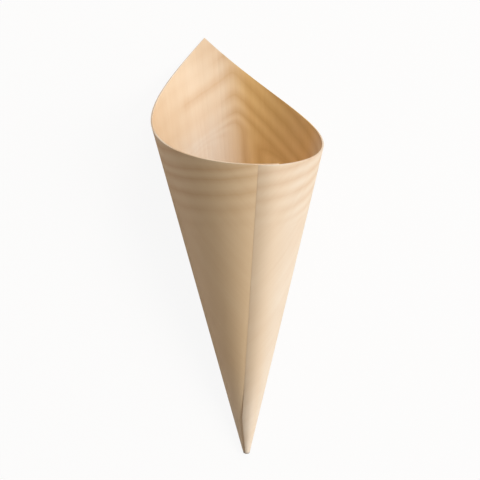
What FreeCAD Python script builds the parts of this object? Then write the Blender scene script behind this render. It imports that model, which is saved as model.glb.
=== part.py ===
"""Rolled serving cone: one square sheet of thin wood, rolled corner first and glued along its lap.

The near corner of the sheet becomes the tip and its far corner the peak of the rim. The wall climbs by its
own thickness in one turn, so that one side of the sheet lies on the other at the lap. It is drawn as two
half cones of the same angle with their axes a little apart. Between them, on the line from tip to peak
where the free corner doesn't pull the sheet round, a narrow strip of it is flat. Millimetres. The cone lies
on its side as it comes to rest, on that strip: the tip points to -X, the mouth opens to +X, and the lap is on
top with its outer edge on the +Y side of it.
"""
import FreeCAD, Part
import os
from math import asin, atan, atan2, cos, degrees, hypot, pi, radians, sin, sqrt, tan

# The sheet, a square of wood veneer
sheet_side = 92.5
veneer = 0.5

# The roll: how far the two sides lap at the rim, how far each runs past the point, and the glue between
rim_lap = 6.0
edge_margin = 2.5
glue_line = 0.1

# The flat strip from tip to peak, as the part of a turn that it takes up, in degrees
flat_strip = 10.0

# The tip: the hole left inside it, and how far past the seam the lapped sides reach there, in degrees
tip_hole_radius = 0.15
tip_lap_reach = 35.0

# Points that the curved sides of the sheet are drawn through
rim_points = 17
lap_points = 13

# What follows: the flat angle that one turn takes up, and the angle of the cone
far_side = sheet_side - edge_margin
turn_angle = pi / 2 - (rim_lap - 2 * edge_margin) / far_side
half_angle = asin(turn_angle / (2 * pi))
slope = sin(half_angle)

# Where the flat strip ends on either side of its middle, and the angle that it makes with the cone's axis
strip_edge = radians(flat_strip / 2)
strip_angle = atan(tan(half_angle) * cos(strip_edge))

# The half with the lap on the outside is wider than the cone by this, and the half under it is narrower
offset = (veneer + glue_line) / 4
OUTER = 1
INNER = -1

# Where the tip ends, measured along the sheet from the cone's point
tip_cut = (tip_hole_radius + offset + veneer / 2 / cos(half_angle)) / slope


def blend(start, end, share):
    """The value at a share of the way from start to end."""
    return start + (end - start) * share


def point_behind(half):
    """How far behind the cone's point the half's own point lies on the flat sheet, along either side."""
    return half * offset / slope / sqrt(2)


def about_point(half, x, y):
    """A place on the flat half sheet as its distance from the half's point, and its angle round the cone.

    The flat sheet has the cone's point at its origin and the half's lapped side along y = -edge_margin.
    """
    back = point_behind(half)
    return hypot(x + back, y + back), (pi / 4 - atan2(y + back, x + back)) / slope


def sheet_outline(half):
    """The sides of the half sheet in order round it, each as distances and angles about the half's point."""
    back = point_behind(half)
    tip = tip_cut + half * offset / slope
    reach = pi + radians(tip_lap_reach)
    # Where the straight lapped side has come to its full reach, and is trimmed from there to the tip
    trim_x = (back - edge_margin) / tan(pi / 4 - slope * reach) - back
    lap_shares = [i / (lap_points - 1) for i in range(lap_points)]
    rim_shares = [i / (rim_points - 1) for i in range(rim_points)]
    lap = [about_point(half, trim_x * (far_side / trim_x) ** share, -edge_margin) for share in lap_shares]
    strip_y = (far_side + back) * tan(pi / 4 - slope * strip_edge) - back
    rim = [about_point(half, far_side, blend(-edge_margin, strip_y, share)) for share in rim_shares]
    return {
        "tip": [(tip, strip_edge), (tip, reach)],
        "trim": [(tip, reach), lap[0]],
        "lap": lap,
        "rim": rim,
        "strip": [rim[-1], (tip, strip_edge)],
    }


def cone_surface(half, lift):
    """The conical surface of one half, lifted from the middle of the sheet."""
    cone = Part.Cone()
    cone.Center = FreeCAD.Vector(-half * offset * cos(strip_edge), 0, tip_cut * cos(half_angle))
    cone.SemiAngle = half_angle
    cone.Radius = tip_cut * slope + half * offset + lift / cos(half_angle)
    return cone


def on_surface(half, lift, distance, around):
    """The surface's own coordinates of a place on the sheet, carried over along the sheet's normal."""
    u = around if half == INNER else 2 * pi - around
    v = distance - tip_cut - half * offset / slope - lift * tan(half_angle)
    return FreeCAD.Base.Vector2d(u, v)


def side_on(surface, points):
    """A side of the sheet on the surface: straight in its coordinates through two points, else smooth."""
    if len(points) == 2:
        curve = Part.Geom2d.Line2dSegment(*points)
    else:
        curve = Part.Geom2d.BSplineCurve2d()
        curve.interpolate(points)
    return curve.toShape(surface)


def across_wall(outside, inside):
    """The cut edge of the sheet between the same side of its outside and of its inside."""
    same_direction = 1
    return Part.makeRuledSurface(outside, inside, same_direction)


def half_sheet(half):
    """The faces of one half, and its sides on the outside and on the inside."""
    faces = []
    outlines = []
    for lift in (veneer / 2, -veneer / 2):
        surface = cone_surface(half, lift)
        sides = {}
        for name, places in sheet_outline(half).items():
            sides[name] = side_on(surface, [on_surface(half, lift, *place) for place in places])
        face = Part.Face(surface, Part.Wire(list(sides.values())))
        face.validate()
        faces.append(face)
        outlines.append(sides)
    outside, inside = outlines
    faces += [across_wall(outside[name], inside[name]) for name in ("tip", "trim", "lap", "rim")]
    return faces, outlines


def peak(lift):
    """The far corner of the sheet, which is the end of the flat strip."""
    distance = far_side * sqrt(2)
    outward = lift * cos(strip_edge) * cos(strip_angle) / cos(half_angle)
    x = distance * sin(strip_angle) + outward * cos(strip_angle)
    z = distance * cos(strip_angle) - outward * sin(strip_angle)
    return FreeCAD.Vector(x, 0, z)


def ends(side):
    """The two ends of a side, in its own direction."""
    return side.valueAt(side.FirstParameter), side.valueAt(side.LastParameter)


def strip(outer_outlines, inner_outlines):
    """The faces of the flat strip, drawn between the sides that the two halves have along it."""
    faces = []
    outlines = []
    for lift, outer, inner in zip((veneer / 2, -veneer / 2), outer_outlines, inner_outlines):
        outer_rim, outer_tip = ends(outer["strip"])
        inner_rim, inner_tip = ends(inner["strip"])
        corners = [outer_rim, peak(lift), inner_rim, inner_tip, outer_tip]
        sides = [Part.makeLine(start, end) for start, end in zip(corners, corners[1:] + corners[:1])]
        faces.append(Part.Face(Part.Wire(sides)))
        outlines.append(sides)
    outside, inside = outlines
    # The first two sides are on the rim and the fourth at the tip, and the others are inside the sheet
    for side in (0, 1, 3):
        faces.append(across_wall(outside[side], inside[side]))
    return faces


def rolled_sheet():
    """The whole sheet as one solid, standing on its tip with the axis of the cone along Z."""
    outer_faces, outer_outlines = half_sheet(OUTER)
    inner_faces, inner_outlines = half_sheet(INNER)
    shell = Part.Shell(outer_faces + inner_faces + strip(outer_outlines, inner_outlines))
    shell.sewShape()
    solid = Part.Solid(shell)
    if solid.Volume < 0:
        solid.reverse()
    return solid


def laid_down(solid):
    """The cone on its side, on its flat strip, centred over the origin."""
    turned = solid.copy()
    turned.rotate(FreeCAD.Vector(0, 0, 0), FreeCAD.Vector(0, 1, 0), 90 - degrees(strip_angle))
    box = turned.optimalBoundingBox(False, False)
    turned.translate(FreeCAD.Vector(-box.Center.x, -box.Center.y, -box.ZMin))
    return turned


os.makedirs("parts", exist_ok=True)
laid_down(rolled_sheet()).exportStep("parts/veneer_cone.step")
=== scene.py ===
"""Rolled serving cone of thin pine, lying on a pale floor.

One square sheet of veneer is rolled corner first round a steep cone and glued where its two sides lap. The
sheet is made flat, with its grain drawn on it in sheet coordinates, and a node tree rolls it up, so that the
grain follows the wall round to the lap.
"""
import math

import bpy
from mathutils import Matrix, Vector


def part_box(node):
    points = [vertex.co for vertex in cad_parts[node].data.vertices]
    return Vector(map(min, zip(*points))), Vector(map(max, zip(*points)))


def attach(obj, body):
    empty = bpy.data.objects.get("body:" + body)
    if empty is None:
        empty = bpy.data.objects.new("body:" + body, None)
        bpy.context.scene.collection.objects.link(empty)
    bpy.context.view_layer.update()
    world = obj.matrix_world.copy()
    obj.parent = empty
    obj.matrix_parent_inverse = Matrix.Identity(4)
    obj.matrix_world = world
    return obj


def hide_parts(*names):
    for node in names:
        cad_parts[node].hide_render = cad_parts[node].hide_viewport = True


bl_info = {
    "name": "Rolled Serving Cone",
    "version": (1, 0, 0),
    "blender": (4, 5, 0),
    "location": "3D View > Sidebar > Serving Cone",
    "description": "Builds a serving cone rolled from one sheet of pine veneer, with floor, light and camera",
    "category": "Add Mesh",
}

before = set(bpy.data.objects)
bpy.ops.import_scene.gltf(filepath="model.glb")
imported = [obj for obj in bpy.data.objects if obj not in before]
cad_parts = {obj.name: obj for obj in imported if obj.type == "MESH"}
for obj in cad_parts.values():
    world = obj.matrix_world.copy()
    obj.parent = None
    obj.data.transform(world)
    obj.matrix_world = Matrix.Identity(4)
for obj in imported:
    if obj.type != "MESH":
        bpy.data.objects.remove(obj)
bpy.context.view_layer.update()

MM = 0.001
SHEET_NODE = "veneer_cone"

# The fineness of the rolled slab: its points across and along each face, and through its thickness
COLUMNS = 193
ROWS = 161
LAYERS = 9

# How much closer than even the columns stand at the lapped sides, and how much wider in the middle
CROWDING = 0.7

# The lapped sides thin over this width, and along their length from the first distance to the second from the
# cone's point. The glue under them is pressed out by this share
THINNED_WIDTH = 6.0 * MM
THINNED_FROM = 10.0 * MM
THINNED_FULLY = 25.0 * MM
PRESSED_OUT = 0.9

# Faces that meet more sharply than this keep a crisp edge
CRISP_ANGLE = math.radians(35)

# The arches of the grain, in millimetres on the sheet: the line of their tops, how far they lean over in a
# millimetre, how round their tops are, where the first dark ring lies and how far apart the rings are
ARCH_MIDDLE = 8.0
ARCH_LEAN = 0.33
ARCH_ROUND = 1.4
FIRST_RING = 108.9
RING_WIDTH = 5.1

# The stage in metres: half the floor's side, and how wide the lamps are and how far from the cone
FLOOR_REACH = 3.0
LAMP_WIDTH = 1.0
LAMP_DISTANCE = 1.2

# The colour of the even light, and how far the floor is shown as white to the camera
WHITE = (1.0, 1.0, 1.0, 1.0)
WARM_ROOM = (1.0, 0.94, 0.88, 1.0)
SHOWN_WHITE = 0.92

# The camera: its place, its own right and up, and its lens and film width in millimetres
CAMERA_PLACE = (-59.865 * MM, 139.955 * MM, 419.324 * MM)
CAMERA_RIGHT = (-0.098897, -0.944869, 0.312157)
CAMERA_UP = (0.985958, -0.050624, 0.159136)
CAMERA_LENS = 112.5
FILM_WIDTH = 36.0


# Node trees

class Wire:
    """A socket that carries a number, a vector or a colour. Sums and products of numbers add Math nodes."""

    def __init__(self, tree, socket):
        self.tree = tree
        self.socket = socket

    def math(self, operation, *values):
        return self.tree.add("ShaderNodeMath", {"operation": operation}, dict(enumerate(values)))

    def __add__(self, other):
        return self.math("ADD", self, other)

    def __radd__(self, other):
        return self.math("ADD", other, self)

    def __sub__(self, other):
        return self.math("SUBTRACT", self, other)

    def __rsub__(self, other):
        return self.math("SUBTRACT", other, self)

    def __mul__(self, other):
        return self.math("MULTIPLY", self, other)

    def __rmul__(self, other):
        return self.math("MULTIPLY", other, self)

    def __truediv__(self, other):
        return self.math("DIVIDE", self, other)

    def __rtruediv__(self, other):
        return self.math("DIVIDE", other, self)

    def __pow__(self, other):
        return self.math("POWER", self, other)

    def __neg__(self):
        return self.math("MULTIPLY", self, -1.0)

    def __abs__(self):
        return self.math("ABSOLUTE", self)

    def function(self, name):
        """A function of this number: SINE, COSINE, ARCSINE, SQRT, SIGN, FRACT and so on."""
        return self.math(name, self)

    def at_most(self, other):
        return self.math("MINIMUM", self, other)

    def at_least(self, other):
        return self.math("MAXIMUM", self, other)

    def between(self, low, high):
        """0 where this number is at low, 1 at high, with a smooth rise between."""
        ends = {"Value": self, "From Min": low, "From Max": high}
        return self.tree.add("ShaderNodeMapRange", {"interpolation_type": "SMOOTHSTEP"}, ends)

    def fading(self, low, high):
        """1 where this number is at low, 0 at high, with a smooth fall between."""
        return 1 - self.between(low, high)


class Tree:
    """A node tree that is being built."""

    def __init__(self, group):
        self.group = group
        group.nodes.clear()

    def add(self, kind, settings=None, values=None, output=0):
        """Adds a node, sets its settings, then its sockets, and returns one of its outputs."""
        node = self.group.nodes.new(kind)
        for name, value in (settings or {}).items():
            setattr(node, name, value)
        for name, value in (values or {}).items():
            self.feed(node.inputs[name], value)
        if not len(node.outputs):
            return node
        return Wire(self, node.outputs[output])

    def feed(self, socket, value):
        if isinstance(value, Wire):
            self.group.links.new(value.socket, socket)
        else:
            socket.default_value = value

    def vector(self, x, y, z):
        return self.add("ShaderNodeCombineXYZ", None, {0: x, 1: y, 2: z})

    def parts(self, vector):
        """The three numbers of a vector."""
        node = self.add("ShaderNodeSeparateXYZ", None, {0: vector}).socket.node
        return [Wire(self, output) for output in node.outputs]

    def noise(self, place, scale, detail=2.0, roughness=0.5, seed=0.0):
        """Noise about 0, from about -0.5 to 0.5, of features 1/scale long."""
        values = {"Vector": place, "W": seed, "Scale": scale, "Detail": detail, "Roughness": roughness}
        return self.add("ShaderNodeTexNoise", {"noise_dimensions": "4D"}, values, "Fac") - 0.5

    def seen_by_camera(self):
        """1 for the rays that the camera sees straight, and 0 for those that light the object."""
        return self.add("ShaderNodeLightPath", None, None, "Is Camera Ray")

    def mix(self, share, first, second):
        """A colour that goes from the first to the second as the share goes from 0 to 1."""
        return self.add("ShaderNodeMix", {"data_type": "RGBA"}, {0: share, 6: first, 7: second}, 2)


# Sizes and colours that a user may change

class SheetSizes(bpy.types.PropertyGroup):
    """The veneer sheet and the way it is rolled."""

    side: bpy.props.FloatProperty(
        name="Sheet Side", description="Side of the square sheet", default=92.5 * MM, unit="LENGTH",
        precision=5)
    veneer: bpy.props.FloatProperty(
        name="Veneer", description="Thickness of the sheet", default=0.5 * MM, unit="LENGTH", precision=5)
    rim_lap: bpy.props.FloatProperty(
        name="Rim Lap", description="How far the two sides lap at the rim", default=6.0 * MM, unit="LENGTH",
        precision=5)
    edge_margin: bpy.props.FloatProperty(
        name="Edge Margin", description="How far each side of the sheet runs past the cone's point",
        default=2.5 * MM, unit="LENGTH", precision=5)
    glue_line: bpy.props.FloatProperty(
        name="Glue Line", description="Glue between the two layers of the lap", default=0.1 * MM,
        unit="LENGTH", precision=5)
    flat_strip: bpy.props.FloatProperty(
        name="Flat Strip", description="Part of the turn that is flat where the cone lies",
        default=math.radians(10.0), subtype="ANGLE")
    tip_hole: bpy.props.FloatProperty(
        name="Tip Hole", description="Radius of the hole that is left inside the tip", default=0.15 * MM,
        unit="LENGTH", precision=5)
    tip_reach: bpy.props.FloatProperty(
        name="Tip Reach", description="How far past the seam the lapped sides reach at the tip",
        default=math.radians(35.0), subtype="ANGLE")
    edge_round: bpy.props.FloatProperty(
        name="Edge Round", description="Rounding of the cut edges", default=0.06 * MM, unit="LENGTH",
        precision=5)
    tip_round: bpy.props.FloatProperty(
        name="Tip Round", description="Rounding of the sanded tip", default=0.2 * MM, unit="LENGTH",
        precision=5)
    lap_thinning: bpy.props.FloatProperty(
        name="Lap Thinning", description="How much thinner the lapped sides are at their ends",
        default=0.43 * MM, unit="LENGTH", precision=5)


class SheetColours(bpy.types.PropertyGroup):
    """The colours of the bare wood."""

    pale: bpy.props.FloatVectorProperty(
        name="Pale Wood", description="The wide pale bands of the grain", default=(0.90, 0.69, 0.47),
        subtype="COLOR", size=3, min=0.0, max=1.0)
    dark: bpy.props.FloatVectorProperty(
        name="Dark Wood", description="The narrow dark lines of the grain", default=(0.70, 0.41, 0.18),
        subtype="COLOR", size=3, min=0.0, max=1.0)
    # Down one side this cream is a painted highlight, the sheen of the lamp-lit outer wall.
    cream_and_highlight: bpy.props.FloatVectorProperty(
        name="Sapwood", description="The creamy sapwood inside the arches and down one side",
        default=(0.93, 0.79, 0.63), subtype="COLOR", size=3, min=0.0, max=1.0)
    # The two golden heartwood colours are partly painted shade: they stand for the deep warm shade on the inner
    # wall that faces away from the lamps.
    heart_and_shade: bpy.props.FloatVectorProperty(
        name="Heartwood", description="The golden heartwood near the rim", default=(0.87, 0.54, 0.19),
        subtype="COLOR", size=3, min=0.0, max=1.0)
    heart_and_shade_dark: bpy.props.FloatVectorProperty(
        name="Heartwood Lines", description="The dark lines of the heartwood", default=(0.64, 0.33, 0.08),
        subtype="COLOR", size=3, min=0.0, max=1.0)
    # Painted shade: the dark of the small hole inside the tip, greying its end.
    tip_hole_shade: bpy.props.FloatVectorProperty(
        name="Tip End", description="The greyed end of the tip", default=(0.36, 0.33, 0.32), subtype="COLOR",
        size=3, min=0.0, max=1.0)


class StageSettings(bpy.types.PropertyGroup):
    """The floor and the light."""

    floor: bpy.props.FloatVectorProperty(
        name="Floor", description="Colour of the floor", default=(0.75, 0.68, 0.61), subtype="COLOR", size=3,
        min=0.0, max=1.0)
    side_power: bpy.props.FloatProperty(
        name="Side Light", description="Power of the large soft lamp beside the cone", default=8.4,
        unit="POWER")
    rim_power: bpy.props.FloatProperty(
        name="Rim Light", description="Power of the large soft lamp beyond the rim", default=8.6,
        unit="POWER")
    low_power: bpy.props.FloatProperty(
        name="Tip Light", description="Power of the large soft lamp towards the tip", default=3.3,
        unit="POWER")
    fill: bpy.props.FloatProperty(
        name="Fill", description="Strength of the even light from all round", default=0.13)


# The rolled sheet

def rolled_sheet_tree():
    """Rolls a flat slab up into the cone. The slab's X runs across the sheet, its Y from tip to rim."""
    group = bpy.data.node_groups.new("Rolled Sheet", "GeometryNodeTree")
    face = group.interface
    for kind, names in (
        ("NodeSocketFloat", (
            "Side", "Veneer", "Rim Lap", "Edge Margin", "Glue Line", "Flat Strip", "Tip Hole", "Tip Reach",
            "Edge Round", "Tip Round", "Lap Thinning")),
        ("NodeSocketInt", ("Columns", "Rows", "Layers")),
        ("NodeSocketVector", ("Resting Place",)),
        ("NodeSocketMaterial", ("Wood",)),
    ):
        for name in names:
            face.new_socket(name, in_out="INPUT", socket_type=kind)
    face.new_socket("Geometry", in_out="OUTPUT", socket_type="NodeSocketGeometry")
    tree = Tree(group)
    given = group.nodes.new("NodeGroupInput")
    size = {output.name: Wire(tree, output) for output in given.outputs if output.name}
    veneer, margin = size["Veneer"], size["Edge Margin"]

    # The cone that the sheet's own sizes make
    far = size["Side"] - margin
    slope = (math.pi / 2 - (size["Rim Lap"] - 2 * margin) / far) / (2 * math.pi)
    half_angle = slope.function("ARCSINE")
    cosine = half_angle.function("COSINE")
    offset = (veneer + size["Glue Line"]) / 4
    tip_cut = (size["Tip Hole"] + offset + veneer / 2 / cosine) / slope
    strip_cosine = (size["Flat Strip"] / 2).function("COSINE")
    strip_angle = (half_angle.function("TANGENT") * strip_cosine).function("ARCTANGENT")

    # Where a point of the slab lies: across from -1 to 1, along from 0 to 1, and its depth from -1 to 1
    slab_values = {"Size": (2.0, 1.0, 2.0), "Vertices X": size["Columns"], "Vertices Y": size["Rows"],
                   "Vertices Z": size["Layers"]}
    slab = tree.add("GeometryNodeMeshCube", None, slab_values)
    x, y, depth = tree.parts(tree.add("GeometryNodeInputPosition"))
    across = -x
    along = y + 0.5
    half = across.function("SIGN")
    share = abs(across) * (1 + CROWDING - abs(across) * CROWDING)
    lift = depth * veneer / 2

    def rounding(radius):
        """How far an edge of this radius draws in at the point's depth."""
        into = ((abs(lift) - (veneer / 2 - radius)) / radius).at_least(0.0)
        return radius * (1 - (1 - into * into).at_least(0.0).function("SQRT"))

    # The flat half sheet, as a distance from its own point and an angle round the cone
    back = half * offset / slope / math.sqrt(2)
    tip = tip_cut + half * offset / slope
    reach = math.pi + size["Tip Reach"]
    corner = ((far + back) ** 2 + (back - margin) ** 2).function("SQRT")
    corner_around = (math.pi / 4 - ((back - margin) / corner).function("ARCSINE")) / slope
    rim = (far + back) / (math.pi / 4 - slope * share * corner_around).function("COSINE")
    edge_distance = tip + (corner - tip) * along
    edge_around = (math.pi / 4 - ((back - margin) / edge_distance).function("ARCSINE")) / slope
    edge_around = edge_around.at_most(reach)
    tip_drawn = rounding(size["Tip Round"])
    edge_drawn = rounding(size["Edge Round"])
    distance = tip + tip_drawn + (rim - tip - tip_drawn - edge_drawn) * along
    around = share * (edge_around - edge_drawn / (distance * slope))

    # The lapped sides are pressed down on the layer under them and thinned a little where they end
    from_side = (1 - share) * edge_around * distance * slope
    pressed = (1 - from_side / THINNED_WIDTH).at_least(0.0) ** 2
    pressed = pressed * distance.between(THINNED_FROM, THINNED_FULLY)
    exposed = (half * depth + 1) / 2
    lift = lift - half * pressed * (size["Glue Line"] * PRESSED_OUT + exposed * size["Lap Thinning"])

    # The same point on the cone, which stands on its tip with the seam towards -X
    radius = distance * slope + lift * cosine
    height = distance * cosine - half * offset / half_angle.function("TANGENT") - lift * slope
    sideways = -half * radius * around.function("SINE")
    forward = radius * around.function("COSINE").at_most(strip_cosine) - half * offset * strip_cosine

    # Laid down on its flat strip
    sine, level = strip_angle.function("SINE"), strip_angle.function("COSINE")
    place = tree.vector(forward * sine + height * level, sideways, height * sine - forward * level)
    on_sheet = tree.vector(
        half * distance * (slope * around).function("SINE"),
        distance * (slope * around).function("COSINE") - half * offset / slope,
        lift)
    stored = tree.add(
        "GeometryNodeStoreNamedAttribute", {"data_type": "FLOAT_VECTOR", "domain": "POINT"},
        {"Geometry": slab, "Name": "sheet", "Value": on_sheet})
    rolled = tree.add("GeometryNodeSetPosition", None, {"Geometry": stored, "Position": place})

    # Centred over its resting place, with the strip on it
    box = tree.add("GeometryNodeBoundBox", None, {"Geometry": rolled}).socket.node
    low, high = Wire(tree, box.outputs["Min"]), Wire(tree, box.outputs["Max"])
    low_x, low_y, low_z = tree.parts(low)
    high_x, high_y, high_z = tree.parts(high)
    to_x, to_y, to_z = tree.parts(size["Resting Place"])
    move = tree.vector(to_x - (low_x + high_x) / 2, to_y - (low_y + high_y) / 2, to_z - low_z)
    resting = tree.add("GeometryNodeTransform", None, {"Geometry": rolled, "Translation": move})

    # Smooth faces with crisp cut edges
    angle = tree.add("GeometryNodeInputMeshEdgeAngle", None, None, "Unsigned Angle")
    gentle = tree.add("FunctionNodeCompare", {"operation": "LESS_THAN"}, {0: angle, 1: CRISP_ANGLE})
    shaded = tree.add(
        "GeometryNodeSetShadeSmooth", {"domain": "EDGE"}, {"Geometry": resting, "Shade Smooth": gentle})
    real = tree.add("GeometryNodeRealizeInstances", None, {"Geometry": shaded})
    made = tree.add("GeometryNodeSetMaterial", None, {"Geometry": real, "Material": size["Wood"]})
    tree.add("NodeGroupOutput", None, {"Geometry": made})
    return group


def grown_mesh(name, group, values):
    """The mesh that a node tree makes with these inputs."""
    holder = bpy.data.objects.new(name + "_holder", bpy.data.meshes.new(name + "_empty"))
    bpy.context.collection.objects.link(holder)
    modifier = holder.modifiers.new(name, "NODES")
    modifier.node_group = group
    for item in group.interface.items_tree:
        if item.item_type == "SOCKET" and item.in_out == "INPUT":
            modifier[item.identifier] = values[item.name]
    evaluated = holder.evaluated_get(bpy.context.evaluated_depsgraph_get())
    mesh = bpy.data.meshes.new_from_object(evaluated)
    holder.modifiers.clear()
    bpy.data.objects.remove(holder)
    if not len(mesh.polygons):
        raise RuntimeError(name + " came out empty")
    mesh.name = name
    return mesh


# The wood. Its grain is drawn on the flat sheet, in millimetres from the cone's point: u runs across the
# diagonal from tip to peak, and v along it. Aslant is u for each millimetre of v, about -1 and 1 at the laps

def arches(u, v):
    """The nested arches that the rings are cut to, each known by how far up its top lies.

    Returns the arch, how far to the side of the arches' middle, and where the lines run straight inside them.
    """
    aside = u - ARCH_MIDDLE
    arch = v + (aside * aside + ARCH_ROUND ** 2).function("SQRT") - ARCH_ROUND + aside * ARCH_LEAN
    straight = arch.fading(96.5, 104.0) * (-aside).fading(10.0, 20.0)
    nearly_upright = aside * 1.15 + 97.4
    return arch + (nearly_upright - arch) * straight, aside, straight


def ring_count(tree, in_mm, arch, aside):
    """The rings outwards from the first dark one, a little unevenly spaced as in grown wood."""
    bend = tree.noise(in_mm, 0.05, 2.0) * 1.6 + tree.noise(in_mm, 0.25, 2.0, seed=3.0) * 0.8
    left = (-aside).between(15.0, 40.0)
    right = aside.between(28.0, 42.0)
    ring = (arch + bend - FIRST_RING - left * 1.9) / (RING_WIDTH + left * 0.3)
    ring = ring - arch.between(107.5, 123.0) * (1 - left) * 0.58
    ring = ring - left * arch.fading(107.0, 111.0) * 0.38
    return ring + right * (0.36 - arch.between(118.0, 136.0) * 0.5)


def ring_strength(tree, in_mm, arch, aside, straight, aslant):
    """How clearly the rings show: faintly in the arches' left leg but for one, and less down the right side."""
    clear_leg = arch.between(112.0, 114.5) * arch.fading(118.3, 120.0) * (-aside).fading(15.0, 21.0)
    calm = (-aside).between(0.0, 8.0) * (-aside).fading(34.0, 42.0) * (1 - clear_leg)
    calm = calm.at_least(straight * (-aside).between(-0.5, 1.5))
    strength = (1 - calm * 0.85) * (1 - aslant.between(0.3, 0.5) * 0.35)
    strength = strength * (1 + (-aslant).between(0.3, 0.5) * 0.25) * (1 - (-aslant).between(0.65, 1.0) * 0.45)
    return strength * (1 + tree.noise(in_mm, 0.07, 1.0, seed=7.0) * 0.8)


def golden_wood_and_shade(aside, aslant, from_tip):
    """Golden heartwood on the right of the arches' middle near the rim, and a trace of it down the left. The
    gold is partly painted shade: it deepens the inner wall that faces away from the lamps and warms the shaded
    left of the outer wall.
    """
    heart_and_shade = aside.between(-5.0, 5.0) * aslant.fading(0.33, 0.46) * from_tip.between(35.0, 92.0) * 0.95
    return heart_and_shade.at_least((-aslant).between(0.35, 0.6) * 0.3)


def creamy_wood_and_highlight(u, v, arch, aside, aslant, from_tip):
    """Creamy sapwood inside the arches; a painted highlight down the right, where the lamps light the outer
    wall; paler wood at the tip, partly painted light that lifts its shade; and a pale cut edge on the rim,
    partly its painted highlight.
    """
    inside = arch.fading(99.0, 111.0) * aside.fading(-9.0, -2.0) * (-aside).fading(20.0, 34.0)
    inside = inside * from_tip.between(60.0, 90.0)
    # Painted highlight: paler where the lamps light the side of the outer wall.
    highlight_down_right = aslant.between(0.40, 0.55) * aslant.fading(0.72, 0.95)
    # Paler wood at the tip, partly painted light that lifts the tip's shade.
    tip_pale_and_lit = from_tip.fading(8.0, 34.0) * 0.8
    # Pale cut edge along the rim, partly a painted highlight where the rim's edge catches the light.
    cut_edge_and_highlight = (abs(u) + v).between(126.7, 127.2)
    return inside.at_least(highlight_down_right).at_least(tip_pale_and_lit).at_least(cut_edge_and_highlight)


def tanned_wood(aside, from_tip):
    """Where the wood is a little darker: in a band down the left, and close to the rim."""
    band = (-aside).between(20.0, 36.0) * (-aside).fading(38.0, 46.0) * from_tip.between(80.0, 98.0)
    return band * 0.14 + from_tip.between(116.0, 124.0) * 0.25


def pine_material(colours):
    """Bare pine: arched rings, fine fibres along the sheet's diagonal, and a paler cut edge, partly a painted
    highlight. Painted light and shade also stand in the sapwood, heartwood and tip colours.
    """
    material = bpy.data.materials.new("Pine Veneer")
    material.use_nodes = True
    tree = Tree(material.node_tree)
    sheet = tree.add("ShaderNodeAttribute", {"attribute_name": "sheet"}, None, "Vector")
    in_mm = tree.add("ShaderNodeVectorMath", {"operation": "SCALE"}, {0: sheet, "Scale": 1 / MM})
    u, v, depth = tree.parts(in_mm)
    from_tip = (u * u + v * v).function("SQRT")
    aslant = u / v

    # The rings are a broad swell with a thin dark line, and fade into plain wood towards the tip
    arch, aside, straight = arches(u, v)
    ring = ring_count(tree, in_mm, arch, aside)
    swell = (ring * (2 * math.pi)).function("COSINE") * 0.5 + 0.5
    phase = (ring + 0.12).function("FRACT")
    line = phase.between(0.0, 0.12) * phase.fading(0.12, 0.2)
    ringed = (from_tip + tree.noise(in_mm, 0.08, 1.0, seed=6.0) * 14.0).between(68.0, 84.0)
    strength = ringed * ring_strength(tree, in_mm, arch, aside, straight, aslant)
    lighter = (-aslant).between(0.3, 0.5) * 0.16
    figure = (swell * 0.42 + line * 0.1 - lighter) * strength

    # Fibres and streaks along the sheet's diagonal, and soft clouds
    fibre = tree.noise(tree.vector(u * 2.6, v * 0.09, depth), 1.0, 3.0, 0.6, 5.0)
    streak = tree.noise(tree.vector(u * 0.35, v * 0.02, depth), 1.0, 2.0, 0.5, 9.0)
    cloud = tree.noise(in_mm, 0.06, 3.0, 0.55, 12.0)
    tanned = tanned_wood(aside, from_tip)
    darkness = figure + fibre * 0.25 + streak * 0.35 + cloud * 0.35 + tanned + 0.1

    # Creamy sapwood, with painted light in it: a highlight down the right, a lift at the tip and the rim's
    # edge.
    sapwood_and_highlight = creamy_wood_and_highlight(u, v, arch, aside, aslant, from_tip)
    # Golden heartwood, partly painted shade on the inner wall away from the lamps and down the shaded left.
    heart_and_shade = golden_wood_and_shade(aside, aslant, from_tip)
    pale = tree.mix(sapwood_and_highlight * 0.9, (*colours.pale, 1.0), (*colours.cream_and_highlight, 1.0))
    plain = tree.mix(darkness, pale, (*colours.dark, 1.0))
    golden = tree.mix(darkness, (*colours.heart_and_shade, 1.0), (*colours.heart_and_shade_dark, 1.0))
    colour = tree.mix(heart_and_shade, plain, golden)
    # Painted shade: the end of the tip is greyed where the hole inside it lies dark.
    colour = tree.mix(from_tip.fading(2.6, 3.3) * 0.7, colour, (*colours.tip_hole_shade, 1.0))

    relief = fibre * 0.5 + line * ringed * 0.3
    bump = tree.add("ShaderNodeBump", None, {"Height": relief, "Strength": 0.25, "Distance": 0.05 * MM})
    wood = tree.add("ShaderNodeBsdfPrincipled", None, {
        "Base Color": colour, "Roughness": 0.48 + fibre * 0.1, "Normal": bump, "IOR": 1.5,
        "Specular IOR Level": 0.9})
    tree.add("ShaderNodeOutputMaterial", None, {"Surface": wood})
    return material


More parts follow.
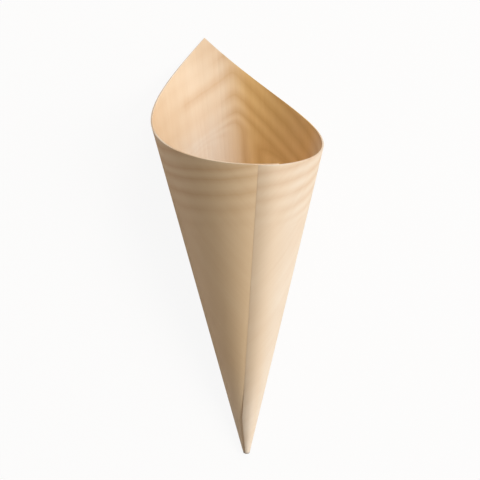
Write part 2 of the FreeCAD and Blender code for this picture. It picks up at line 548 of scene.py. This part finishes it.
class SERVINGCONE_OT_sheet(bpy.types.Operator):
    """Roll the veneer sheet into the cone"""

    bl_idname = "serving_cone.sheet"
    bl_label = "Rolled Sheet"

    def execute(self, context):
        sizes = context.scene.cone_sheet
        low, high = (Vector(corner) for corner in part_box(SHEET_NODE))
        wood = pine_material(context.scene.cone_colours)
        values = {
            "Side": sizes.side, "Veneer": sizes.veneer, "Rim Lap": sizes.rim_lap,
            "Edge Margin": sizes.edge_margin, "Glue Line": sizes.glue_line, "Flat Strip": sizes.flat_strip,
            "Tip Hole": sizes.tip_hole, "Tip Reach": sizes.tip_reach, "Edge Round": sizes.edge_round,
            "Tip Round": sizes.tip_round, "Lap Thinning": sizes.lap_thinning,
            "Columns": COLUMNS, "Rows": ROWS, "Layers": LAYERS,
            "Resting Place": ((low.x + high.x) / 2, (low.y + high.y) / 2, low.z), "Wood": wood,
        }
        mesh = grown_mesh("rolled_sheet", rolled_sheet_tree(), values)
        sheet = bpy.data.objects.new("rolled_sheet", mesh)
        context.collection.objects.link(sheet)
        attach(sheet, "root")
        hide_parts(SHEET_NODE)
        return {"FINISHED"}


# The stage

def floor_material(colour):
    """Matt white, shown to the camera a little nearer to white than it is lit."""
    material = bpy.data.materials.new("Pale Floor")
    material.use_nodes = True
    tree = Tree(material.node_tree)
    matt = tree.add("ShaderNodeBsdfDiffuse", None, {"Color": (*colour, 1.0)})
    white = tree.add("ShaderNodeEmission", None, {"Color": WHITE, "Strength": 1.0})
    shown = tree.add("ShaderNodeMixShader", None, {0: tree.seen_by_camera() * SHOWN_WHITE, 1: matt, 2: white})
    tree.add("ShaderNodeOutputMaterial", None, {"Surface": shown})
    return material


def soft_world(strength):
    """Even light from all round, and white behind everything that the camera sees."""
    world = bpy.data.worlds.new("Soft Room")
    world.use_nodes = True
    tree = Tree(world.node_tree)
    room = tree.add("ShaderNodeBackground", None, {"Color": WARM_ROOM, "Strength": strength})
    white = tree.add("ShaderNodeBackground", None, {"Color": WHITE, "Strength": 1.0})
    shown = tree.add("ShaderNodeMixShader", None, {0: tree.seen_by_camera(), 1: room, 2: white})
    tree.add("ShaderNodeOutputWorld", None, {"Surface": shown})
    return world


def aimed(place, target):
    """A matrix at the place that looks at the target."""
    return Matrix.Translation(place) @ (target - place).to_track_quat("-Z", "Y").to_matrix().to_4x4()


class SERVINGCONE_OT_stage(bpy.types.Operator):
    """Add the floor, the light and the camera"""

    bl_idname = "serving_cone.stage"
    bl_label = "Stage"

    def execute(self, context):
        settings = context.scene.cone_stage
        low, high = (Vector(corner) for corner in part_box(SHEET_NODE))
        middle = (low + high) / 2

        mesh = bpy.data.meshes.new("floor")
        corners = [(x * FLOOR_REACH, y * FLOOR_REACH, low.z) for x, y in ((-1, -1), (1, -1), (1, 1), (-1, 1))]
        mesh.from_pydata(corners, [], [(0, 1, 2, 3)])
        mesh.materials.append(floor_material(settings.floor))
        floor = bpy.data.objects.new("floor", mesh)
        context.collection.objects.link(floor)

        for name, power, direction in (
            ("side_light", settings.side_power, (-0.17, -0.65, 0.74)),
            ("rim_light", settings.rim_power, (0.69, -0.16, 0.69)),
            ("tip_light", settings.low_power, (-0.58, -0.60, 0.55)),
        ):
            lamp = bpy.data.lights.new(name, "AREA")
            lamp.shape = "DISK"
            lamp.size = LAMP_WIDTH
            lamp.energy = power
            light = bpy.data.objects.new(name, lamp)
            context.collection.objects.link(light)
            light.matrix_world = aimed(middle + Vector(direction).normalized() * LAMP_DISTANCE, middle)
        context.scene.world = soft_world(settings.fill)

        view = bpy.data.cameras.new("camera")
        view.lens = CAMERA_LENS
        view.sensor_width = FILM_WIDTH
        view.clip_start = 0.01
        camera = bpy.data.objects.new("camera", view)
        context.collection.objects.link(camera)
        right, up = Vector(CAMERA_RIGHT), Vector(CAMERA_UP)
        turned = Matrix((right, up, right.cross(up))).transposed().to_4x4()
        camera.matrix_world = Matrix.Translation(CAMERA_PLACE) @ turned
        context.scene.camera = camera
        context.scene.view_settings.view_transform = "Standard"
        return {"FINISHED"}


class SERVINGCONE_PT_panel(bpy.types.Panel):
    """The serving cone's sizes, colours and steps"""

    bl_idname = "SERVINGCONE_PT_panel"
    bl_label = "Serving Cone"
    bl_space_type = "VIEW_3D"
    bl_region_type = "UI"
    bl_category = "Serving Cone"

    def draw(self, context):
        for settings in (context.scene.cone_sheet, context.scene.cone_colours, context.scene.cone_stage):
            column = self.layout.column()
            for name in settings.__annotations__:
                column.prop(settings, name)
        for operator in (SERVINGCONE_OT_sheet, SERVINGCONE_OT_stage):
            self.layout.operator(operator.bl_idname)


classes = (
    SheetSizes, SheetColours, StageSettings, SERVINGCONE_OT_sheet, SERVINGCONE_OT_stage, SERVINGCONE_PT_panel)


def register():
    for one in classes:
        bpy.utils.register_class(one)
    bpy.types.Scene.cone_sheet = bpy.props.PointerProperty(type=SheetSizes)
    bpy.types.Scene.cone_colours = bpy.props.PointerProperty(type=SheetColours)
    bpy.types.Scene.cone_stage = bpy.props.PointerProperty(type=StageSettings)


def unregister():
    del bpy.types.Scene.cone_stage
    del bpy.types.Scene.cone_colours
    del bpy.types.Scene.cone_sheet
    for one in reversed(classes):
        bpy.utils.unregister_class(one)


def main():
    register()
    bpy.ops.serving_cone.stage()
    bpy.ops.serving_cone.sheet()


if __name__ == "__main__":
    main()
